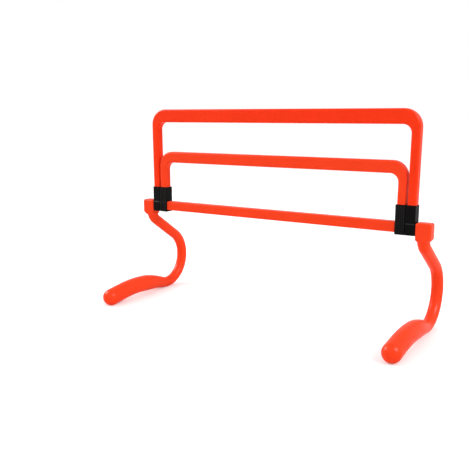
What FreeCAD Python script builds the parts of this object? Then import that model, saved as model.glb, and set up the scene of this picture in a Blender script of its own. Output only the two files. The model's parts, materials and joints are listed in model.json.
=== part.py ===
import FreeCAD, Part
import math
import os
from FreeCAD import Vector

# A training hurdle with three heights. A low crossbar joins two bent legs, and two U-shaped bars
# turn on the crossbar's ends in black sleeves. Millimetres, +Z up, -Y is the side the toes point to.
# The origin lies on the ground, in the middle of the outline seen from above.

# Heights to the top of the three bars
LOW_BAR_TOP = 154.2
MID_STEP = 79.6
HIGH_STEP = 66.2

# Crossbar, a hollow rectangular bar between the two pairs of sleeves
CROSSBAR_SPAN = 378.0
CROSSBAR_HEIGHT = 14.2
CROSSBAR_DEPTH = 13.0
CROSSBAR_WALL = 2.0
CROSSBAR_EDGE = 2.2

# U-shaped bars: slim uprights under a taller top run
UPRIGHT_WIDTH = 11.6
UPRIGHT_DEPTH = 14.2
UPRIGHT_SPLAY = 0.7
HIGH_RUN_HEIGHT = 20.0
MID_RUN_HEIGHT = 16.8
HIGH_CORNER = 24.0
MID_CORNER = 22.0
INSIDE_CORNER = 11.5
BAR_EDGE = 3.0

# Pivots: a spigot in the crossbar, a round journal for two sleeves and a square tenon in the leg
JOURNAL_DIAMETER = 11.0
SPIGOT_LENGTH = 26.0
TENON_LENGTH = 14.0
TENON_SHOULDER = 0.18

# Sleeves: a hub that turns on the journal, under a socket that holds an upright's plug.
# The upright stands on the socket's rim, almost flush with its sides.
SLEEVE_REACH = 30.0
SLEEVE_DROP = 9.7
SLEEVE_SIDE_LIP = 0.9
SLEEVE_FRONT_LIP = 0.4
SLEEVE_WALL = 1.35
SLEEVE_EDGE = 0.7
SOCKET_FLOOR = 3.0
PLUG_EDGE = 1.2
HUB_RISE = 4.6
HUB_SLOPE = 2.0
HUB_SHOULDER = 0.6
HUB_CORNER = 2.0

# Leg heads, the blocks on the crossbar's ends, whose lower end tapers to the tube
HEAD_RISE = 0.8
HEAD_HEIGHT = 24.8
HEAD_LIP = 0.5
HEAD_SHOULDER = 3.5
HEAD_TAPER = 45.0
HEAD_EDGE = 2.8

# Legs: a neck bends back, a straight run slopes down, a wide rear bend turns forward,
# and an arched foot swells towards a round toe
LEG_DIAMETER = 16.4
FOOT_DIAMETER = 25.6
LEG_SETBACK = 1.0
NECK_DROP = 9.6
NECK_RADIUS = 21.0
RUN_SLOPE = 56.8
REAR_RADIUS = 43.8
HEEL_RISE = 13.8
ARCH_RADIUS = 241.0
TOE_FALL = 8.3
TOE_RUN = 25.0
FOOT_LENGTH = 77.6
FLARE_LENGTH = 68.0
SOLE_FLAT = 0.8
FLARE_SECTIONS = 9

# Countersunk screws on the rear side
SCREW_SHANK = 2.9
SCREW_HEAD = 5.6
SCREW_CONE = 1.5
SCREW_LENGTH = 9.0
SCREW_POINT = 2.0

# Clearances
RUNNING_FIT = 0.06
SIDE_GAP = 0.3
SEAT_FIT = 0.1
SCREW_FIT = 0.05

# Two lengths closer than this count as equal
TOUCH = 0.001

# Places worked out from the sizes above
MID_BAR_TOP = LOW_BAR_TOP + MID_STEP
HIGH_BAR_TOP = MID_BAR_TOP + HIGH_STEP
AXIS_Z = LOW_BAR_TOP - CROSSBAR_HEIGHT / 2
SPLAY_SLOPE = math.tan(math.radians(UPRIGHT_SPLAY))

SLEEVE_WIDTH = UPRIGHT_WIDTH + 2 * SLEEVE_SIDE_LIP
SLEEVE_HALF_DEPTH = UPRIGHT_DEPTH / 2 + SLEEVE_FRONT_LIP
HUB_HALF_DEPTH = SLEEVE_HALF_DEPTH + HUB_SHOULDER
SOCKET_WIDTH = SLEEVE_WIDTH - 2 * SLEEVE_WALL
SOCKET_DEPTH = 2 * (SLEEVE_HALF_DEPTH - SLEEVE_WALL)
BORE_RADIUS = JOURNAL_DIAMETER / 2 + RUNNING_FIT
SLEEVE_TOP = AXIS_Z + SLEEVE_REACH
SOCKET_BOTTOM = AXIS_Z + BORE_RADIUS + SOCKET_FLOOR
SOCKET_MIDDLE = (SOCKET_BOTTOM + SLEEVE_TOP) / 2

CROSSBAR_END = CROSSBAR_SPAN / 2
MID_SLEEVE_START = CROSSBAR_END + SIDE_GAP
HIGH_SLEEVE_START = MID_SLEEVE_START + SLEEVE_WIDTH + SIDE_GAP
HEAD_INNER = HIGH_SLEEVE_START + SLEEVE_WIDTH + SIDE_GAP
MID_UPRIGHT_X = MID_SLEEVE_START + SLEEVE_WIDTH / 2
HIGH_UPRIGHT_X = HIGH_SLEEVE_START + SLEEVE_WIDTH / 2

LEG_RADIUS = LEG_DIAMETER / 2
FOOT_RADIUS = FOOT_DIAMETER / 2
LEG_X = HEAD_INNER + LEG_SETBACK + LEG_RADIUS
HEAD_OUTER = LEG_X + LEG_RADIUS + HEAD_SHOULDER
HEAD_DEPTH = LEG_DIAMETER + 2 * HEAD_LIP
HEAD_TOP = LOW_BAR_TOP + HEAD_RISE
HEAD_BOTTOM = HEAD_TOP - HEAD_HEIGHT
TENON_SIDE = JOURNAL_DIAMETER / math.sqrt(2) - TENON_SHOULDER

# The leg's centre line is a chain of straight runs and arcs in one upright plane.
# Its heading is the angle from straight down, positive towards the back (+Y).
SLOPE = math.radians(RUN_SLOPE)
RISE = math.radians(HEEL_RISE)
FALL = math.radians(TOE_FALL)
NECK_TOP_Z = AXIS_Z - NECK_DROP
HEEL_Z = LEG_RADIUS - SOLE_FLAT
TOE_Z = FOOT_RADIUS - SOLE_FLAT
NECK_AND_REAR_DROP = NECK_RADIUS * math.sin(SLOPE) + REAR_RADIUS * (1 + math.sin(SLOPE))
SLOPE_RUN = (NECK_TOP_Z - HEEL_Z - NECK_AND_REAR_DROP) / math.cos(SLOPE)
HEEL_TURN_LIFT = REAR_RADIUS * (1 - math.cos(RISE))
ARCH_LIFT = ARCH_RADIUS * (math.cos(FALL) - math.cos(RISE))
TOE_DROP = TOE_RUN * math.sin(FALL)
HEEL_RUN = (TOE_Z - HEEL_Z + TOE_DROP - HEEL_TURN_LIFT - ARCH_LIFT) / math.sin(RISE)

# Each stretch is its length and its turn: positive turns towards the back
LEG_STRETCHES = [
    (NECK_RADIUS * SLOPE, SLOPE),
    (SLOPE_RUN, 0.0),
    (REAR_RADIUS * (SLOPE + math.pi / 2 + RISE), -(SLOPE + math.pi / 2 + RISE)),
    (HEEL_RUN, 0.0),
    (ARCH_RADIUS * (RISE + FALL), RISE + FALL),
    (TOE_RUN, 0.0),
]
LEG_LENGTH = sum(length for length, turn in LEG_STRETCHES)
FOOT_START = LEG_LENGTH - FOOT_LENGTH
FLARE_START = FOOT_START - FLARE_LENGTH


def advance(y, z, heading, length, turn):
    """Place and heading after a straight run (no turn) or an arc."""
    if turn == 0.0:
        return y + length * math.sin(heading), z - length * math.cos(heading), heading
    radius = length / turn
    after = heading + turn
    y_after = y + radius * (math.cos(heading) - math.cos(after))
    z_after = z - radius * (math.sin(after) - math.sin(heading))
    return y_after, z_after, after


def leg_place(distance):
    """Place and heading on the leg's centre line, measured from its top."""
    y, z, heading = 0.0, NECK_TOP_Z, 0.0
    left = distance
    for length, turn in LEG_STRETCHES:
        part = min(left, length)
        y, z, heading = advance(y, z, heading, part, turn * part / length)
        left -= part
        if left <= 0:
            break
    return y, z, heading


# The crossbar's plane stands where the outline's front and back are equally far from the origin
TOE_Y = leg_place(LEG_LENGTH)[0]
REAR_BEND_START = NECK_RADIUS * SLOPE + SLOPE_RUN
REAR_Y = leg_place(REAR_BEND_START + REAR_RADIUS * SLOPE)[0]
BAR_Y = ((FOOT_RADIUS - TOE_Y) - (REAR_Y + LEG_RADIUS)) / 2


def leg_point(distance):
    """Point of the right leg's centre line."""
    y, z, heading = leg_place(distance)
    return Vector(LEG_X, BAR_Y + y, z)


def leg_circle(distance, radius):
    """Round section of the right leg, square to its centre line."""
    heading = leg_place(distance)[2]
    along = Vector(0, math.sin(heading), -math.cos(heading))
    return Part.Wire(Part.makeCircle(radius, leg_point(distance), along))


def leg_tube(start, end, radius):
    """Solids that follow the centre line with one radius: a round bar or a bend for each stretch."""
    pieces = []
    before = 0.0
    for length, turn in LEG_STRETCHES:
        first = max(start, before)
        last = min(end, before + length)
        before += length
        if last - first < TOUCH:
            continue
        section = Part.Face(leg_circle(first, radius))
        if turn == 0.0:
            pieces.append(section.extrude(leg_point(last) - leg_point(first)))
        else:
            heading = leg_place(first)[2]
            bend = length / turn
            centre = leg_point(first) + Vector(0, bend * math.cos(heading), bend * math.sin(heading))
            angle = math.degrees(turn * (last - first) / length)
            pieces.append(section.revolve(centre, Vector(1, 0, 0), angle))
    return pieces


def flare_radius(share):
    """Radius along the flare, which starts and ends without a step."""
    return LEG_RADIUS + (FOOT_RADIUS - LEG_RADIUS) * share * share * (3 - 2 * share)


def leg_flare():
    """Swelling between the tube and the foot."""
    sections = []
    for index in range(FLARE_SECTIONS):
        share = index / (FLARE_SECTIONS - 1)
        sections.append(leg_circle(FLARE_START + share * FLARE_LENGTH, flare_radius(share)))
    return Part.makeLoft(sections, True, False)


def box_between(low, high):
    """Box from its lowest corner to its highest one."""
    size = high - low
    return Part.makeBox(size.x, size.y, size.z, low)


def rounded_bar(start, end, depth, height, edge):
    """Bar along X on the crossbar's axis, with rounded long edges."""
    low = Vector(start, BAR_Y - depth / 2, AXIS_Z - height / 2)
    high = Vector(end, BAR_Y + depth / 2, AXIS_Z + height / 2)
    bar = box_between(low, high)
    if edge <= 0:
        return bar
    long_edges = [one for one in bar.Edges if abs(one.BoundBox.XLength - (end - start)) < TOUCH]
    return bar.makeFillet(edge, long_edges)


def journal(start, end, radius):
    """Round bar along X on the crossbar's axis."""
    return Part.makeCylinder(radius, end - start, Vector(start, BAR_Y, AXIS_Z), Vector(1, 0, 0))


def on_left(shape):
    """The same piece at the other end of the hurdle."""
    return shape.mirror(Vector(0, 0, 0), Vector(1, 0, 0))


def rear_screw(x, rear_depth, z, grow=0.0):
    """Countersunk screw that goes forward from a rear face, or its hole when it grows."""
    shank = SCREW_SHANK / 2 + grow
    head = SCREW_HEAD / 2 + grow
    point = SCREW_LENGTH + grow
    outline = [
        Vector(0, 0, 0),
        Vector(head, 0, 0),
        Vector(shank, -SCREW_CONE - grow, 0),
        Vector(shank, -point + SCREW_POINT, 0),
        Vector(0, -point, 0),
    ]
    face = Part.Face(Part.makePolygon(outline + outline[:1]))
    screw = face.revolve(Vector(0, 0, 0), Vector(0, 1, 0), 360)
    screw.translate(Vector(x, BAR_Y + rear_depth, z))
    return screw


CROSSBAR_SCREW_X = CROSSBAR_END - SPIGOT_LENGTH / 2
LEG_SCREW_X = HEAD_INNER + TENON_LENGTH / 2


def crossbar_screw(grow=0.0):
    """Screw that holds the right pivot in the crossbar."""
    return rear_screw(CROSSBAR_SCREW_X, CROSSBAR_DEPTH / 2, AXIS_Z, grow)


def leg_screw(grow=0.0):
    """Screw that holds the right leg on its pivot."""
    return rear_screw(LEG_SCREW_X, HEAD_DEPTH / 2, AXIS_Z, grow)


def sleeve_screw(upright_x, grow=0.0):
    """Screw that holds an upright in its sleeve."""
    return rear_screw(upright_x, SLEEVE_HALF_DEPTH, SOCKET_MIDDLE, grow)


def make_crossbar():
    """Hollow bar with a screw hole near each end."""
    outside = rounded_bar(-CROSSBAR_END, CROSSBAR_END, CROSSBAR_DEPTH, CROSSBAR_HEIGHT, CROSSBAR_EDGE)
    hollow_depth = CROSSBAR_DEPTH - 2 * CROSSBAR_WALL
    hollow_height = CROSSBAR_HEIGHT - 2 * CROSSBAR_WALL
    hollow = rounded_bar(-CROSSBAR_END, CROSSBAR_END, hollow_depth, hollow_height, 0.0)
    hole = crossbar_screw(SCREW_FIT)
    return outside.cut([hollow, hole, on_left(hole)])


def make_right_pivot():
    """Spigot, journal and square tenon in one piece."""
    spigot_depth = CROSSBAR_DEPTH - 2 * (CROSSBAR_WALL + SEAT_FIT)
    spigot_height = CROSSBAR_HEIGHT - 2 * (CROSSBAR_WALL + SEAT_FIT)
    spigot = rounded_bar(CROSSBAR_END - SPIGOT_LENGTH, CROSSBAR_END, spigot_depth, spigot_height, 0.0)
    shaft = journal(CROSSBAR_END, HEAD_INNER, JOURNAL_DIAMETER / 2)
    tenon = rounded_bar(HEAD_INNER, HEAD_INNER + TENON_LENGTH, TENON_SIDE, TENON_SIDE, 0.0)
    body = shaft.fuse([spigot, tenon])
    return body.cut([crossbar_screw(SCREW_FIT), leg_screw(SCREW_FIT)])


def make_head():
    """Block on the crossbar's end, with rounded edges and a lower end turned down to the tube."""
    low = Vector(HEAD_INNER, BAR_Y - HEAD_DEPTH / 2, HEAD_BOTTOM)
    high = Vector(HEAD_OUTER, BAR_Y + HEAD_DEPTH / 2, HEAD_TOP)
    block = box_between(low, high)
    upper = [one for one in block.Edges if one.BoundBox.ZMax > HEAD_BOTTOM + TOUCH]
    block = block.makeFillet(HEAD_EDGE, upper)
    rim = LEG_RADIUS + HEAD_LIP
    wide = rim + HEAD_HEIGHT * math.tan(math.radians(HEAD_TAPER))
    taper = Part.makeCone(rim, wide, HEAD_HEIGHT, Vector(LEG_X, BAR_Y, HEAD_BOTTOM))
    return block.common(taper)


def make_right_leg():
    """Head, bent tube, flared foot and round toe, cut flat where it stands on the ground."""
    tube = leg_tube(0.0, FLARE_START, LEG_RADIUS)
    foot = leg_tube(FOOT_START, LEG_LENGTH, FOOT_RADIUS)
    toe = Part.makeSphere(FOOT_RADIUS, leg_point(LEG_LENGTH))
    body = make_head().fuse(tube + [leg_flare()] + foot + [toe])
    reach = LEG_LENGTH + HEAD_OUTER
    below_ground = box_between(Vector(-reach, -reach, -reach), Vector(reach, reach, 0))
    mortise_side = TENON_SIDE + 2 * SEAT_FIT
    mortise_end = HEAD_INNER + TENON_LENGTH + SEAT_FIT
    mortise = rounded_bar(HEAD_INNER, mortise_end, mortise_side, mortise_side, 0.0)
    return body.cut([below_ground, mortise, leg_screw(SCREW_FIT)])


def sleeve_outline(start):
    """Side view of a sleeve: a tall socket above a hub that is slightly deeper."""
    half_outline = [
        (SLEEVE_HALF_DEPTH, SLEEVE_REACH),
        (SLEEVE_HALF_DEPTH, HUB_RISE + HUB_SLOPE),
        (HUB_HALF_DEPTH, HUB_RISE),
        (HUB_HALF_DEPTH, -SLEEVE_DROP),
    ]
    other_half = [(-y, z) for y, z in reversed(half_outline)]
    outline = [Vector(start, BAR_Y + y, AXIS_Z + z) for y, z in half_outline + other_half]
    return Part.Face(Part.makePolygon(outline + outline[:1]))


def splayed(x, z):
    """X of a line that leans outwards with the uprights and passes x at the axis."""
    return x + SPLAY_SLOPE * (z - AXIS_Z)


def upright_plug(upright_x, bottom, top, shrink):
    """Lower end of a right upright, smaller than the socket all round, or the socket itself."""
    half = SOCKET_WIDTH / 2 - shrink
    depth = SOCKET_DEPTH - 2 * shrink
    front = BAR_Y - depth / 2
    outline = [
        Vector(splayed(upright_x - half, bottom), front, bottom),
        Vector(splayed(upright_x + half, bottom), front, bottom),
        Vector(splayed(upright_x + half, top), front, top),
        Vector(splayed(upright_x - half, top), front, top),
    ]
    plug = Part.Face(Part.makePolygon(outline + outline[:1])).extrude(Vector(0, depth, 0))
    tall = [one for one in plug.Edges if one.BoundBox.ZLength > TOUCH]
    return plug.makeFillet(PLUG_EDGE, tall)


def make_right_sleeve(start, upright_x):
    """Sleeve with its bore, its socket and the hole for its screw."""
    body = sleeve_outline(start).extrude(Vector(SLEEVE_WIDTH, 0, 0))
    lowest = [one for one in body.Edges if abs(one.BoundBox.ZMax - AXIS_Z + SLEEVE_DROP) < TOUCH]
    body = body.makeFillet(HUB_CORNER, [one for one in lowest if one.BoundBox.XLength > TOUCH])
    sides = [one for one in body.Edges if one.BoundBox.XLength < TOUCH]
    body = body.makeFillet(SLEEVE_EDGE, sides)
    bore = journal(start - SIDE_GAP, start + SLEEVE_WIDTH + SIDE_GAP, BORE_RADIUS)
    socket = upright_plug(upright_x, SOCKET_BOTTOM, SLEEVE_TOP + SLEEVE_WALL, 0.0)
    return body.cut([bore, socket, sleeve_screw(upright_x, SCREW_FIT)])


def make_u_bar(upright_x, top, run_height, corner):
    """U-shaped bar, upside down: two splayed uprights with plugs, under a rounded top run."""
    half = UPRIGHT_WIDTH / 2
    under = top - run_height
    front = BAR_Y - UPRIGHT_DEPTH / 2
    right_half = [
        (splayed(upright_x - half, under), under),
        (splayed(upright_x - half, SLEEVE_TOP), SLEEVE_TOP),
        (splayed(upright_x + half, SLEEVE_TOP), SLEEVE_TOP),
        (splayed(upright_x + half, top), top),
    ]
    left_half = [(-x, z) for x, z in reversed(right_half)]
    outline = [Vector(x, front, z) for x, z in right_half + left_half]
    bar = Part.Face(Part.makePolygon(outline + outline[:1])).extrude(Vector(0, UPRIGHT_DEPTH, 0))

    def across_at(shape, height):
        return [
            one for one in shape.Edges
            if one.BoundBox.YLength > UPRIGHT_DEPTH / 2 and abs(one.BoundBox.ZMax - height) < TOUCH
        ]

    bar = bar.makeFillet(corner, across_at(bar, top))
    bar = bar.makeFillet(INSIDE_CORNER, across_at(bar, under))
    flat = [one for one in bar.Edges if one.BoundBox.YLength < TOUCH]
    rims = [one for one in flat if one.BoundBox.ZMax > SLEEVE_TOP + TOUCH]
    bar = bar.makeFillet(BAR_EDGE, rims)
    plug = upright_plug(upright_x, SOCKET_BOTTOM + SEAT_FIT, SLEEVE_TOP, SEAT_FIT)
    hole = sleeve_screw(upright_x, SCREW_FIT)
    return bar.fuse([plug, on_left(plug)]).cut([hole, on_left(hole)])


def both_ends(shape):
    """A right-hand piece and its twin as one group of solids."""
    return Part.makeCompound([shape, on_left(shape)])


def build():
    """Every node of the hurdle by name."""
    right_pivot = make_right_pivot()
    right_leg = make_right_leg()
    right_mid_sleeve = make_right_sleeve(MID_SLEEVE_START, MID_UPRIGHT_X)
    right_high_sleeve = make_right_sleeve(HIGH_SLEEVE_START, HIGH_UPRIGHT_X)
    return {
        "crossbar": make_crossbar(),
        "right_pivot": right_pivot,
        "left_pivot": on_left(right_pivot),
        "right_leg": right_leg,
        "left_leg": on_left(right_leg),
        "right_mid_sleeve": right_mid_sleeve,
        "left_mid_sleeve": on_left(right_mid_sleeve),
        "right_high_sleeve": right_high_sleeve,
        "left_high_sleeve": on_left(right_high_sleeve),
        "mid_bar": make_u_bar(MID_UPRIGHT_X, MID_BAR_TOP, MID_RUN_HEIGHT, MID_CORNER),
        "high_bar": make_u_bar(HIGH_UPRIGHT_X, HIGH_BAR_TOP, HIGH_RUN_HEIGHT, HIGH_CORNER),
        "crossbar_screws": both_ends(crossbar_screw()),
        "leg_screws": both_ends(leg_screw()),
        "mid_bar_screws": both_ends(sleeve_screw(MID_UPRIGHT_X)),
        "high_bar_screws": both_ends(sleeve_screw(HIGH_UPRIGHT_X)),
    }


os.makedirs("parts", exist_ok=True)
for node, shape in build().items():
    shape.exportStep("parts/" + node + ".step")
    print(node, len(shape.Solids), shape.isValid(), round(shape.Volume))
print("bar plane y", round(BAR_Y, 3), "axis z", round(AXIS_Z, 3), "leg x", round(LEG_X, 3))
print("slope run", round(SLOPE_RUN, 2), "heel run", round(HEEL_RUN, 2), "toe y", round(TOE_Y, 2))
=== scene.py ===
"""Looks of a training hurdle with three heights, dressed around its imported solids."""
import json
import logging
import math
from abc import ABC, abstractmethod
from dataclasses import dataclass, field
from enum import Enum

import bpy
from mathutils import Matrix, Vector


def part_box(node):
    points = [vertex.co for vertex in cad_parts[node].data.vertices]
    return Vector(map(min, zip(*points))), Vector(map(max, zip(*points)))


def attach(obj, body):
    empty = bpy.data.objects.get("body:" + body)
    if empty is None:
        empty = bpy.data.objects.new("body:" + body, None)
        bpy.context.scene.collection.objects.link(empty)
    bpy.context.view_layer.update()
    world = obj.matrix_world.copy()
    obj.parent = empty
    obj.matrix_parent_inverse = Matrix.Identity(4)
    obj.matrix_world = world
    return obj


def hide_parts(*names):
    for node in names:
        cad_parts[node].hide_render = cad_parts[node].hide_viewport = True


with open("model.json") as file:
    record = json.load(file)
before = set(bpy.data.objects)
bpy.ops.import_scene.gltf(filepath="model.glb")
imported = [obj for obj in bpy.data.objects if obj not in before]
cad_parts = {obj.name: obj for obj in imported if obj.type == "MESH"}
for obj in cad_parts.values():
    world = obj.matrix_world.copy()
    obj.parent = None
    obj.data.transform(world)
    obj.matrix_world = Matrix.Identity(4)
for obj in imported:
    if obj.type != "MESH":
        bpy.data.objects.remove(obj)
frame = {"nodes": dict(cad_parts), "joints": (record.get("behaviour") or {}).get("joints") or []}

log = logging.getLogger("hurdle")

Colour = tuple[float, float, float, float]
Socket = bpy.types.NodeSocket
NodeValue = float | int | bpy.types.Material

MM = 0.001
PHOTO_PIXELS = 470
SENSOR_WIDTH = 36.0
QUARTER_TURN = math.pi / 2
WHITE: Colour = (1.0, 1.0, 1.0, 1.0)


class Slot(Enum):
    """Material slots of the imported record."""

    ORANGE = "orange_plastic"
    SLEEVE = "sleeve_plastic"
    PIVOT = "pivot_plastic"
    SCREW = "screw_steel"


class Body(Enum):
    """Rigid bodies of the hurdle."""

    STAND = "stand"
    MIDDLE = "middle"
    HIGH = "high"


class Surface:
    """Small helper that builds one node material."""

    RAMP_START = 0.3
    RAMP_END = 0.7

    def __init__(self, name: str) -> None:
        """Start an empty material with a shader and an output.

        Args:
            name: Name of the new material.
        """
        self.material = bpy.data.materials.new(name)
        self.material.use_nodes = True
        self.tree = self.material.node_tree
        self.tree.nodes.clear()
        self.output = self.tree.nodes.new("ShaderNodeOutputMaterial")
        self.shader = self.tree.nodes.new("ShaderNodeBsdfPrincipled")
        self.link(self.shader.outputs["BSDF"], self.output.inputs["Surface"])

    def add(self, kind: str, **inputs: float | Colour) -> bpy.types.Node:
        """Add a node and set its inputs.

        Args:
            kind: Node type.
            inputs: Values by input name, with underscores for spaces.

        Returns:
            The new node.
        """
        node = self.tree.nodes.new(kind)
        for name, value in inputs.items():
            node.inputs[name.replace("_", " ")].default_value = value
        return node

    def link(self, source: Socket, target: Socket) -> None:
        """Join an output to an input."""
        self.tree.links.new(source, target)

    def noise(self, scale: float, detail: float) -> Socket:
        """Noise on the piece's own coordinates.

        Args:
            scale: Features per metre.
            detail: Octaves of finer features.

        Returns:
            The noise's value.
        """
        place = self.add("ShaderNodeTexCoord")
        texture = self.add("ShaderNodeTexNoise", Scale=scale, Detail=detail)
        self.link(place.outputs["Object"], texture.inputs["Vector"])
        return texture.outputs["Fac"]

    def ramp(self, source: Socket, low: Colour, high: Colour) -> Socket:
        """Turn a value into a colour between two others.

        Args:
            source: Value to read.
            low: Colour where the value is low.
            high: Colour where the value is high.

        Returns:
            The colour.
        """
        node = self.tree.nodes.new("ShaderNodeValToRGB")
        first, last = node.color_ramp.elements
        first.position, first.color = self.RAMP_START, low
        last.position, last.color = self.RAMP_END, high
        self.link(source, node.inputs["Fac"])
        return node.outputs["Color"]

    def spread(self, source: Socket, low: float, high: float) -> Socket:
        """Map a value from 0..1 to another range.

        Args:
            source: Value to read.
            low: Result at 0.
            high: Result at 1.

        Returns:
            The mapped value.
        """
        node = self.add("ShaderNodeMapRange", To_Min=low, To_Max=high)
        self.link(source, node.inputs["Value"])
        return node.outputs["Result"]

    def bump(self, height: Socket, strength: float, distance: float) -> None:
        """Raise the surface's shading by a height.

        Args:
            height: Height to read.
            strength: Share of the effect.
            distance: Real depth in metres.
        """
        node = self.add("ShaderNodeBump", Strength=strength, Distance=distance)
        self.link(height, node.inputs["Height"])
        self.link(node.outputs["Normal"], self.shader.inputs["Normal"])


@dataclass(frozen=True)
class MouldedPlastic:
    """Moulded plastic with a faint mottle, a fine grain and uneven gloss."""

    name: str
    low: Colour
    high: Colour
    gloss_low: float
    gloss_high: float
    specular: float
    mottle_scale: float = 14.0
    mottle_detail: float = 2.0
    gloss_scale: float = 84.0
    gloss_detail: float = 3.0
    grain_scale: float = 1500.0
    grain_detail: float = 2.0
    grain_strength: float = 0.12
    grain_depth: float = 0.05 * MM

    def material(self) -> bpy.types.Material:
        """Build the finish.

        Returns:
            The new material.
        """
        surface = Surface(self.name)
        mottle = surface.noise(self.mottle_scale, self.mottle_detail)
        surface.link(surface.ramp(mottle, self.low, self.high), surface.shader.inputs["Base Color"])
        patches = surface.noise(self.gloss_scale, self.gloss_detail)
        gloss = surface.spread(patches, self.gloss_low, self.gloss_high)
        surface.link(gloss, surface.shader.inputs["Roughness"])
        surface.shader.inputs["Specular IOR Level"].default_value = self.specular
        grain = surface.noise(self.grain_scale, self.grain_detail)
        surface.bump(grain, self.grain_strength, self.grain_depth)
        return surface.material


@dataclass(frozen=True)
class ZincSteel:
    """Zinc-plated steel with a soft uneven shine."""

    name: str
    low: Colour = (0.42, 0.43, 0.45, 1.0)
    high: Colour = (0.60, 0.60, 0.60, 1.0)
    gloss_low: float = 0.25
    gloss_high: float = 0.45
    patch_scale: float = 900.0
    patch_detail: float = 3.0

    def material(self) -> bpy.types.Material:
        """Build the finish.

        Returns:
            The new material.
        """
        surface = Surface(self.name)
        patches = surface.noise(self.patch_scale, self.patch_detail)
        surface.link(surface.ramp(patches, self.low, self.high), surface.shader.inputs["Base Color"])
        gloss = surface.spread(patches, self.gloss_low, self.gloss_high)
        surface.link(gloss, surface.shader.inputs["Roughness"])
        surface.shader.inputs["Metallic"].default_value = 1.0
        return surface.material


@dataclass(frozen=True)
class Finishes:
    """All finishes of the hurdle."""

    orange: MouldedPlastic = MouldedPlastic(
        name="orange_moulding",
        low=(0.88, 0.049, 0.0105, 1.0),
        high=(0.93, 0.055, 0.0130, 1.0),
        gloss_low=0.32,
        gloss_high=0.42,
        specular=0.05,
    )
    deep_orange: MouldedPlastic = MouldedPlastic(
        name="deep_orange_moulding",
        low=(0.88, 0.035, 0.0050, 1.0),
        high=(0.93, 0.040, 0.0070, 1.0),
        gloss_low=0.32,
        gloss_high=0.42,
        specular=0.05,
    )
    sleeve: MouldedPlastic = MouldedPlastic(
        name="black_sleeve",
        low=(0.0026, 0.0023, 0.0022, 1.0),
        high=(0.0040, 0.0035, 0.0034, 1.0),
        gloss_low=0.40,
        gloss_high=0.54,
        specular=0.04,
        grain_strength=0.35,
    )
    # Lighter black for the sleeves' ridges and ledge beads: a painted highlight where they catch the
    # light.
    highlight_finish: MouldedPlastic = MouldedPlastic(
        name="painted_highlight_black",
        low=(0.016, 0.015, 0.015, 1.0),
        high=(0.026, 0.025, 0.025, 1.0),
        gloss_low=0.36,
        gloss_high=0.48,
        specular=0.06,
    )
    pivot: MouldedPlastic = MouldedPlastic(
        name="grey_pivot",
        low=(0.30, 0.30, 0.29, 1.0),
        high=(0.38, 0.38, 0.37, 1.0),
        gloss_low=0.40,
        gloss_high=0.55,
        specular=0.40,
    )
    screw: ZincSteel = ZincSteel(name="zinc_screw")

    def materials(self) -> dict[Slot, bpy.types.Material]:
        """Build the main finish of every slot once.

        Returns:
            Materials by slot.
        """
        return {
            Slot.ORANGE: self.orange.material(),
            Slot.SLEEVE: self.sleeve.material(),
            Slot.PIVOT: self.pivot.material(),
            Slot.SCREW: self.screw.material(),
        }


def dress(node: str, material: bpy.types.Material) -> None:
    """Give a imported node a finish.

    Args:
        node: Name of the node.
        material: Its finish.
    """
    mesh = frame["nodes"][node].data
    mesh.materials.clear()
    mesh.materials.append(material)
    log.info("%s dressed in %s", node, material.name)


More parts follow.
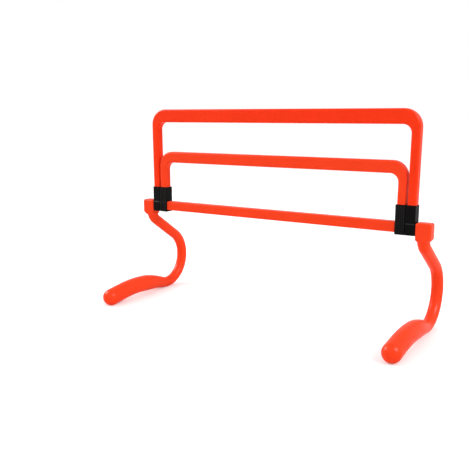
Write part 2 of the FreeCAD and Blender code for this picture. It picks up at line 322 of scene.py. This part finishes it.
class NodeTree:
    """Small helper that builds one Geometry Nodes tree and runs it."""

    def __init__(self, name: str) -> None:
        """Start a tree with a geometry input and output.

        Args:
            name: Name of the tree.
        """
        self.tree = bpy.data.node_groups.new(name, "GeometryNodeTree")
        self.tree.is_modifier = True
        self.identifiers: dict[str, str] = {}
        self.tree.interface.new_socket("Geometry", in_out="INPUT", socket_type="NodeSocketGeometry")
        self.tree.interface.new_socket("Geometry", in_out="OUTPUT", socket_type="NodeSocketGeometry")
        self.inputs = self.tree.nodes.new("NodeGroupInput")
        self.output = self.tree.nodes.new("NodeGroupOutput")

    def value(self, name: str, kind: str) -> Socket:
        """Add a named input.

        Args:
            name: Name of the input.
            kind: Socket type.

        Returns:
            The input's socket inside the tree.
        """
        socket = self.tree.interface.new_socket(name, in_out="INPUT", socket_type=kind)
        self.identifiers[name] = socket.identifier
        return self.inputs.outputs[name]

    def add(self, kind: str, **settings: str) -> bpy.types.Node:
        """Add a node and set its options.

        Args:
            kind: Node type.
            settings: Options by attribute name.

        Returns:
            The new node.
        """
        node = self.tree.nodes.new(kind)
        for name, value in settings.items():
            setattr(node, name, value)
        return node

    def link(self, source: Socket, target: Socket) -> None:
        """Join an output to an input."""
        self.tree.links.new(source, target)

    def calculate(self, operation: str, first: Socket, second: Socket | float) -> Socket:
        """Calculate with two values.

        Args:
            operation: Kind of calculation.
            first: First value.
            second: Second value, a socket or a number.

        Returns:
            The result.
        """
        node = self.add("ShaderNodeMath", operation=operation)
        self.link(first, node.inputs[0])
        if isinstance(second, float):
            node.inputs[1].default_value = second
        else:
            self.link(second, node.inputs[1])
        return node.outputs[0]

    def close(self, geometry: Socket) -> None:
        """End the tree in real geometry with its material.

        Args:
            geometry: Geometry to hand out.
        """
        real = self.add("GeometryNodeRealizeInstances")
        paint = self.add("GeometryNodeSetMaterial")
        self.link(geometry, real.inputs["Geometry"])
        self.link(real.outputs["Geometry"], paint.inputs["Geometry"])
        self.link(self.value("Finish", "NodeSocketMaterial"), paint.inputs["Material"])
        self.link(paint.outputs["Geometry"], self.output.inputs["Geometry"])

    def run(self, name: str, start: bpy.types.Mesh, values: dict[str, NodeValue]) -> bpy.types.Object:
        """Run the tree on a mesh and keep the result as a plain mesh.

        Args:
            name: Name of the new piece.
            start: Mesh the tree starts from.
            values: Input values by name.

        Returns:
            The finished piece.
        """
        seed = bpy.data.objects.new(name + "_seed", start)
        bpy.context.scene.collection.objects.link(seed)
        modifier = seed.modifiers.new(name, "NODES")
        modifier.node_group = self.tree
        for label, value in values.items():
            modifier[self.identifiers[label]] = value
        graph = bpy.context.evaluated_depsgraph_get()
        mesh = bpy.data.meshes.new_from_object(seed.evaluated_get(graph), depsgraph=graph)
        bpy.data.objects.remove(seed)
        mesh.name = name
        piece = bpy.data.objects.new(name, mesh)
        bpy.context.scene.collection.objects.link(piece)
        return piece


def point_mesh(name: str, points: list[Vector], chained: bool) -> bpy.types.Mesh:
    """Mesh of bare points, joined into one line if chained.

    Args:
        name: Name of the mesh.
        points: Places in metres.
        chained: Whether each point is joined to the next.

    Returns:
        The new mesh.
    """
    mesh = bpy.data.meshes.new(name)
    edges = [(i, i + 1) for i in range(len(points) - 1)] if chained else []
    mesh.from_pydata([tuple(point) for point in points], edges, [])
    return mesh


def settle(piece: bpy.types.Object, body: Body) -> None:
    """Let a new piece ride on its body.

    Args:
        piece: The piece.
        body: Body that carries it.
    """
    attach(piece, body.value)
    log.info("%s rides on %s", piece.name, body.value)


@dataclass
class Screws:
    """Countersunk screws with a cross recess, seated in rear faces."""

    head_radius: float = 2.8 * MM
    shank_radius: float = 1.45 * MM
    cone_height: float = 1.5 * MM
    length: float = 9.0 * MM
    recess_length: float = 3.0 * MM
    recess_width: float = 0.62 * MM
    recess_depth: float = 1.1 * MM
    sides: int = 40

    def tree(self) -> NodeTree:
        """Build the tree that puts one screw on each point.

        Returns:
            The tree.
        """
        nodes = NodeTree("countersunk_screws")
        head = nodes.value("Head Radius", "NodeSocketFloat")
        shank = nodes.value("Shank Radius", "NodeSocketFloat")
        cone = nodes.value("Cone Height", "NodeSocketFloat")
        length = nodes.value("Length", "NodeSocketFloat")
        slot_length = nodes.value("Recess Length", "NodeSocketFloat")
        slot_width = nodes.value("Recess Width", "NodeSocketFloat")
        slot_depth = nodes.value("Recess Depth", "NodeSocketFloat")
        sides = nodes.value("Sides", "NodeSocketInt")

        top = nodes.add("GeometryNodeMeshCone")
        nodes.link(sides, top.inputs["Vertices"])
        nodes.link(shank, top.inputs["Radius Bottom"])
        nodes.link(head, top.inputs["Radius Top"])
        nodes.link(cone, top.inputs["Depth"])
        stem = nodes.add("GeometryNodeMeshCylinder")
        nodes.link(sides, stem.inputs["Vertices"])
        nodes.link(shank, stem.inputs["Radius"])
        stem_length = nodes.calculate("SUBTRACT", length, cone)
        nodes.link(stem_length, stem.inputs["Depth"])

        # Each arm of the recess is centred on the head's face, so half of its height cuts in.
        recess = nodes.add("GeometryNodeJoinGeometry")
        arm_height = nodes.calculate("MULTIPLY", slot_depth, 2.0)
        for across in (False, True):
            size = nodes.add("ShaderNodeCombineXYZ")
            nodes.link(slot_width if across else slot_length, size.inputs["X"])
            nodes.link(slot_length if across else slot_width, size.inputs["Y"])
            nodes.link(arm_height, size.inputs["Z"])
            arm = nodes.add("GeometryNodeMeshCube")
            nodes.link(size.outputs["Vector"], arm.inputs["Size"])
            nodes.link(self.lifted(nodes, arm.outputs["Mesh"], cone), recess.inputs["Geometry"])
        cut = nodes.add("GeometryNodeMeshBoolean", operation="DIFFERENCE")
        nodes.link(top.outputs["Mesh"], cut.inputs["Mesh 1"])
        nodes.link(recess.outputs["Geometry"], cut.inputs["Mesh 2"])

        # The stem hangs under the cone, the head's face lies on the point, and it looks to the rear.
        below = nodes.calculate("MULTIPLY", stem_length, -0.5)
        whole = nodes.add("GeometryNodeJoinGeometry")
        nodes.link(cut.outputs["Mesh"], whole.inputs["Geometry"])
        nodes.link(self.lifted(nodes, stem.outputs["Mesh"], below), whole.inputs["Geometry"])
        seat = nodes.calculate("MULTIPLY", cone, -1.0)
        turn = nodes.add("GeometryNodeTransform")
        turn.inputs["Rotation"].default_value = (-QUARTER_TURN, 0.0, 0.0)
        nodes.link(self.lifted(nodes, whole.outputs["Geometry"], seat), turn.inputs["Geometry"])

        place = nodes.add("GeometryNodeInstanceOnPoints")
        nodes.link(nodes.inputs.outputs["Geometry"], place.inputs["Points"])
        nodes.link(turn.outputs["Geometry"], place.inputs["Instance"])
        nodes.close(place.outputs["Instances"])
        return nodes

    @staticmethod
    def lifted(nodes: NodeTree, geometry: Socket, height: Socket) -> Socket:
        """Move geometry along Z.

        Args:
            nodes: Tree to add to.
            geometry: Geometry to move.
            height: Way along Z.

        Returns:
            The moved geometry.
        """
        way = nodes.add("ShaderNodeCombineXYZ")
        nodes.link(height, way.inputs["Z"])
        move = nodes.add("GeometryNodeTransform")
        nodes.link(geometry, move.inputs["Geometry"])
        nodes.link(way.outputs["Vector"], move.inputs["Translation"])
        return move.outputs["Geometry"]

    def seats(self, node: str) -> list[Vector]:
        """Centres of a node's two screw heads, on the rear face they are flush with.

        Args:
            node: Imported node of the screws.

        Returns:
            The two places.
        """
        low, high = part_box(node)
        middle = (low.z + high.z) / 2
        right = high.x - self.head_radius
        return [Vector((side * right, high.y, middle)) for side in (-1, 1)]

    def build(self, node: str, body: Body, finish: bpy.types.Material, tree: NodeTree) -> None:
        """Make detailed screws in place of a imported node.

        Args:
            node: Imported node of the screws.
            body: Body that carries them.
            finish: Their material.
            tree: Tree that makes them.
        """
        values = {
            "Head Radius": self.head_radius,
            "Shank Radius": self.shank_radius,
            "Cone Height": self.cone_height,
            "Length": self.length,
            "Recess Length": self.recess_length,
            "Recess Width": self.recess_width,
            "Recess Depth": self.recess_depth,
            "Sides": self.sides,
            "Finish": finish,
        }
        seats = point_mesh(node + "_seats", self.seats(node), chained=False)
        piece = tree.run(node + "_crossed", seats, values)
        settle(piece, body)
        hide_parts(node)


@dataclass
class SleeveLines(ABC):
    """Fine raised lines on a sleeve's front: a round wire swept along a path and repeated across.

    The hub is the sleeve's thicker lower part, and a sloping ledge leads up from it to the plain front.
    """

    axis: Vector
    finish: bpy.types.Material
    label: str
    count: int
    radius: float
    sink: float
    margin: float
    hub_rise: float = 4.6 * MM
    hub_slope: float = 2.0 * MM
    hub_shoulder: float = 0.6 * MM
    sides: int = 12

    @abstractmethod
    def path(self, node: str) -> list[Vector]:
        """Places along a sleeve's first line.

        Args:
            node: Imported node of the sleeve.

        Returns:
            Points in metres.
        """

    def tree(self) -> NodeTree:
        """Build the tree that sweeps one line and repeats it across the sleeve.

        Returns:
            The tree.
        """
        nodes = NodeTree("sleeve_" + self.label)
        count = nodes.value("Count", "NodeSocketInt")
        pitch = nodes.value("Pitch", "NodeSocketFloat")
        radius = nodes.value("Radius", "NodeSocketFloat")
        sides = nodes.value("Sides", "NodeSocketInt")
        path = nodes.add("GeometryNodeMeshToCurve")
        nodes.link(nodes.inputs.outputs["Geometry"], path.inputs["Mesh"])
        round_wire = nodes.add("GeometryNodeCurvePrimitiveCircle")
        nodes.link(radius, round_wire.inputs["Radius"])
        nodes.link(sides, round_wire.inputs["Resolution"])
        sweep = nodes.add("GeometryNodeCurveToMesh")
        sweep.inputs["Fill Caps"].default_value = True
        nodes.link(path.outputs["Curve"], sweep.inputs["Curve"])
        nodes.link(round_wire.outputs["Curve"], sweep.inputs["Profile Curve"])
        step = nodes.add("ShaderNodeCombineXYZ")
        nodes.link(pitch, step.inputs["X"])
        row = nodes.add("GeometryNodeMeshLine")
        nodes.link(count, row.inputs["Count"])
        nodes.link(step.outputs["Vector"], row.inputs["Offset"])
        place = nodes.add("GeometryNodeInstanceOnPoints")
        nodes.link(row.outputs["Mesh"], place.inputs["Points"])
        nodes.link(sweep.outputs["Mesh"], place.inputs["Instance"])
        nodes.close(place.outputs["Instances"])
        return nodes

    def build(self, node: str, body: Body, tree: NodeTree) -> None:
        """Make the lines of one sleeve.

        Args:
            node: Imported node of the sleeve.
            body: Body that carries it.
            tree: Tree that makes the lines.
        """
        low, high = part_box(node)
        width = high.x - low.x - 2 * self.margin
        values = {
            "Count": self.count,
            "Pitch": width / max(self.count - 1, 1),
            "Radius": self.radius,
            "Sides": self.sides,
            "Finish": self.finish,
        }
        path = point_mesh(node + "_path", self.path(node), chained=True)
        piece = tree.run(f"{node}_{self.label}", path, values)
        for polygon in piece.data.polygons:
            polygon.use_smooth = True
        settle(piece, body)


@dataclass
class SleeveRidges(SleeveLines):
    """Ridges that run down a sleeve's front, over its ledge and round its lower corner."""

    label: str = "ridges"
    count: int = 5
    radius: float = 0.34 * MM
    sink: float = 0.10 * MM
    margin: float = 1.5 * MM
    top_margin: float = 0.9 * MM
    hub_corner: float = 2.0 * MM
    arc_steps: int = 10

    def path(self, node: str) -> list[Vector]:
        """Side outline of a sleeve's front, from its rim to its underside.

        Args:
            node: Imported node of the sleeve.

        Returns:
            Points at the sleeve's first ridge.
        """
        low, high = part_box(node)
        hub = low.y + self.sink
        front = hub + self.hub_shoulder
        ledge = self.axis.z + self.hub_rise
        bottom = low.z + self.sink
        side = [(front, high.z - self.top_margin), (front, ledge + self.hub_slope), (hub, ledge)]
        for step in range(self.arc_steps + 1):
            angle = QUARTER_TURN * step / self.arc_steps
            across = self.hub_corner * (1 - math.cos(angle))
            side.append((hub + across, bottom + self.hub_corner * (1 - math.sin(angle))))
        return [Vector((low.x + self.margin, y, z)) for y, z in side]


@dataclass
class LedgeBead(SleeveLines):
    """Bead along the ledge of a sleeve's front, in a lighter black that is a painted highlight where
    the ledge catches the light.
    """

    label: str = "bead"
    count: int = 1
    radius: float = 1.8 * MM
    sink: float = 1.6 * MM
    margin: float = 0.9 * MM

    def path(self, node: str) -> list[Vector]:
        """Ends of the bead, sunk into the middle of the ledge.

        Args:
            node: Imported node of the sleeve.

        Returns:
            The two ends.
        """
        low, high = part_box(node)
        lean = math.atan2(self.hub_shoulder, self.hub_slope)
        across = low.y + self.hub_shoulder / 2 + self.sink * math.cos(lean)
        height = self.axis.z + self.hub_rise + self.hub_slope / 2 - self.sink * math.sin(lean)
        return [Vector((x, across, height)) for x in (low.x + self.margin, high.x - self.margin)]


@dataclass
class Stand:
    """Crossbar, pivots and legs, which stay put."""

    finishes: dict[Slot, bpy.types.Material]
    orange_nodes: tuple[str, ...] = ("crossbar", "left_leg", "right_leg")
    pivot_nodes: tuple[str, ...] = ("left_pivot", "right_pivot")
    screw_nodes: tuple[str, ...] = ("crossbar_screws", "leg_screws")

    def build(self, screws: Screws, tree: NodeTree) -> None:
        """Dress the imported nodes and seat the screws.

        Args:
            screws: Sizes of the screws.
            tree: Tree that makes screws.
        """
        for node in self.orange_nodes:
            dress(node, self.finishes[Slot.ORANGE])
        for node in self.pivot_nodes:
            dress(node, self.finishes[Slot.PIVOT])
        for node in self.screw_nodes:
            screws.build(node, Body.STAND, self.finishes[Slot.SCREW], tree)


@dataclass
class TurningBar:
    """A U-shaped bar with the two sleeves it turns in."""

    finishes: dict[Slot, bpy.types.Material]
    body: Body
    bar_node: str
    bar_finish: bpy.types.Material
    sleeve_nodes: tuple[str, str]
    screw_node: str
    lines: SleeveLines

    def build(self, screws: Screws, screw_tree: NodeTree) -> None:
        """Dress the bar and its sleeves, seat its screws and add the sleeves' raised lines.

        Args:
            screws: Sizes of the screws.
            screw_tree: Tree that makes screws.
        """
        dress(self.bar_node, self.bar_finish)
        for node in self.sleeve_nodes:
            dress(node, self.finishes[Slot.SLEEVE])
        screws.build(self.screw_node, self.body, self.finishes[Slot.SCREW], screw_tree)
        line_tree = self.lines.tree()
        for node in self.sleeve_nodes:
            self.lines.build(node, self.body, line_tree)


@dataclass
class PhotoCamera:
    """Camera at the photograph's place and angle."""

    axis: Vector
    place: Vector = field(default_factory=lambda: Vector((470.7, -830.35, 290.76)) * MM)
    focal_pixels: float = 655.4
    pitch_down: float = 10.34
    turn: float = 32.73

    def build(self) -> None:
        """Make the camera and hand it to the scene."""
        data = bpy.data.cameras.new("photo_camera")
        data.sensor_width = SENSOR_WIDTH
        data.lens = self.focal_pixels / PHOTO_PIXELS * SENSOR_WIDTH
        camera = bpy.data.objects.new("photo_camera", data)
        camera.location = self.place + Vector((0.0, self.axis.y, 0.0))
        tilt = QUARTER_TURN - math.radians(self.pitch_down)
        camera.rotation_euler = (tilt, 0.0, math.radians(self.turn))
        bpy.context.scene.collection.objects.link(camera)
        bpy.context.scene.camera = camera


@dataclass
class Lamp:
    """One soft lamp that points at the hurdle, with a glint at the same place that only gloss shows."""

    name: str
    place: Vector
    power: float
    glint: float
    size: float = 0.8
    aim: Vector = field(default_factory=lambda: Vector((0.0, 0.0, 0.15)))

    def build(self) -> None:
        """Make the lamp and its glint."""
        self.shine(self.name, self.power)
        self.shine(self.name + "_glint", self.glint).visible_diffuse = False

    def shine(self, name: str, power: float) -> bpy.types.Object:
        """Make one light at the lamp's place.

        Args:
            name: Name of the light.
            power: Its power in watts.

        Returns:
            The light.
        """
        data = bpy.data.lights.new(name, "AREA")
        data.shape = "DISK"
        data.size = self.size
        data.energy = power
        light = bpy.data.objects.new(name, data)
        light.location = self.place
        light.rotation_euler = (self.aim - self.place).to_track_quat("-Z", "Y").to_euler()
        bpy.context.scene.collection.objects.link(light)
        return light


@dataclass
class Studio:
    """White room: floor, sky light and lamps."""

    floor_size: float = 12.0
    floor_drop: float = 0.1 * MM
    floor_colour: Colour = (0.86, 0.86, 0.86, 1.0)
    floor_roughness: float = 0.9
    floor_fill: float = 0.24
    sky_level: float = 0.90

    def lamps(self) -> list[Lamp]:
        """Lamps of the room.

        Returns:
            The lamps.
        """
        return [
            Lamp("right_lamp", Vector((2.05, -0.15, 1.87)), power=23.0, glint=200.0),
            Lamp("left_lamp", Vector((-2.15, -0.33, 1.42)), power=20.0, glint=150.0),
        ]

    @staticmethod
    def seen_directly(tree: bpy.types.NodeTree) -> Socket:
        """Value that is 1 for rays from the camera, mirrors and glass.

        Args:
            tree: Tree to add to.

        Returns:
            The value.
        """
        path = tree.nodes.new("ShaderNodeLightPath")
        seen = path.outputs["Is Camera Ray"]
        for other in ("Is Glossy Ray", "Is Transmission Ray"):
            either = tree.nodes.new("ShaderNodeMath")
            either.operation = "MAXIMUM"
            tree.links.new(seen, either.inputs[0])
            tree.links.new(path.outputs[other], either.inputs[1])
            seen = either.outputs[0]
        return seen

    def build_sky(self) -> None:
        """Plain white sky, dimmer as a light than as a background."""
        world = bpy.data.worlds.new("white_room")
        world.use_nodes = True
        tree = world.node_tree
        sky = tree.nodes["Background"]
        sky.inputs["Color"].default_value = WHITE
        level = tree.nodes.new("ShaderNodeMapRange")
        level.inputs["To Min"].default_value = self.sky_level
        level.inputs["To Max"].default_value = 1.0
        tree.links.new(self.seen_directly(tree), level.inputs["Value"])
        tree.links.new(level.outputs["Result"], sky.inputs["Strength"])
        bpy.context.scene.world = world

    def build_floor(self) -> None:
        """Pale floor that keeps the hurdle's shadow."""
        half = self.floor_size / 2
        corners = [(-half, -half), (half, -half), (half, half), (-half, half)]
        mesh = bpy.data.meshes.new("pale_floor")
        mesh.from_pydata([(x, y, -self.floor_drop) for x, y in corners], [], [(0, 1, 2, 3)])
        surface = Surface("pale_floor")
        surface.shader.inputs["Base Color"].default_value = self.floor_colour
        surface.shader.inputs["Roughness"].default_value = self.floor_roughness
        surface.shader.inputs["Specular IOR Level"].default_value = 0.0
        surface.shader.inputs["Emission Color"].default_value = WHITE
        fill = surface.spread(self.seen_directly(surface.tree), 0.0, self.floor_fill)
        surface.link(fill, surface.shader.inputs["Emission Strength"])
        mesh.materials.append(surface.material)
        floor = bpy.data.objects.new("pale_floor", mesh)
        bpy.context.scene.collection.objects.link(floor)

    def build(self) -> None:
        """Make the room."""
        self.build_sky()
        self.build_floor()
        for lamp in self.lamps():
            lamp.build()
        bpy.context.scene.view_settings.view_transform = "Standard"


def main() -> None:
    """Dress the hurdle, set the room and place the camera."""
    logging.basicConfig(level=logging.INFO, format="%(name)s: %(message)s")
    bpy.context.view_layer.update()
    axis = Vector(frame["joints"][0]["pos_m"])
    palette = Finishes()
    finishes = palette.materials()
    # The ridges and the ledge beads get the lighter black, a painted highlight.
    highlight_finish = palette.highlight_finish.material()
    screws = Screws()
    screw_tree = screws.tree()
    Stand(finishes).build(screws, screw_tree)
    middle = TurningBar(
        finishes,
        Body.MIDDLE,
        "mid_bar",
        finishes[Slot.ORANGE],
        ("left_mid_sleeve", "right_mid_sleeve"),
        "mid_bar_screws",
        SleeveRidges(axis, highlight_finish),
    )
    high = TurningBar(
        finishes,
        Body.HIGH,
        "high_bar",
        palette.deep_orange.material(),
        ("left_high_sleeve", "right_high_sleeve"),
        "high_bar_screws",
        LedgeBead(axis, highlight_finish),
    )
    for bar in (middle, high):
        bar.build(screws, screw_tree)
    Studio().build()
    PhotoCamera(axis).build()


if __name__ == "__main__":
    main()
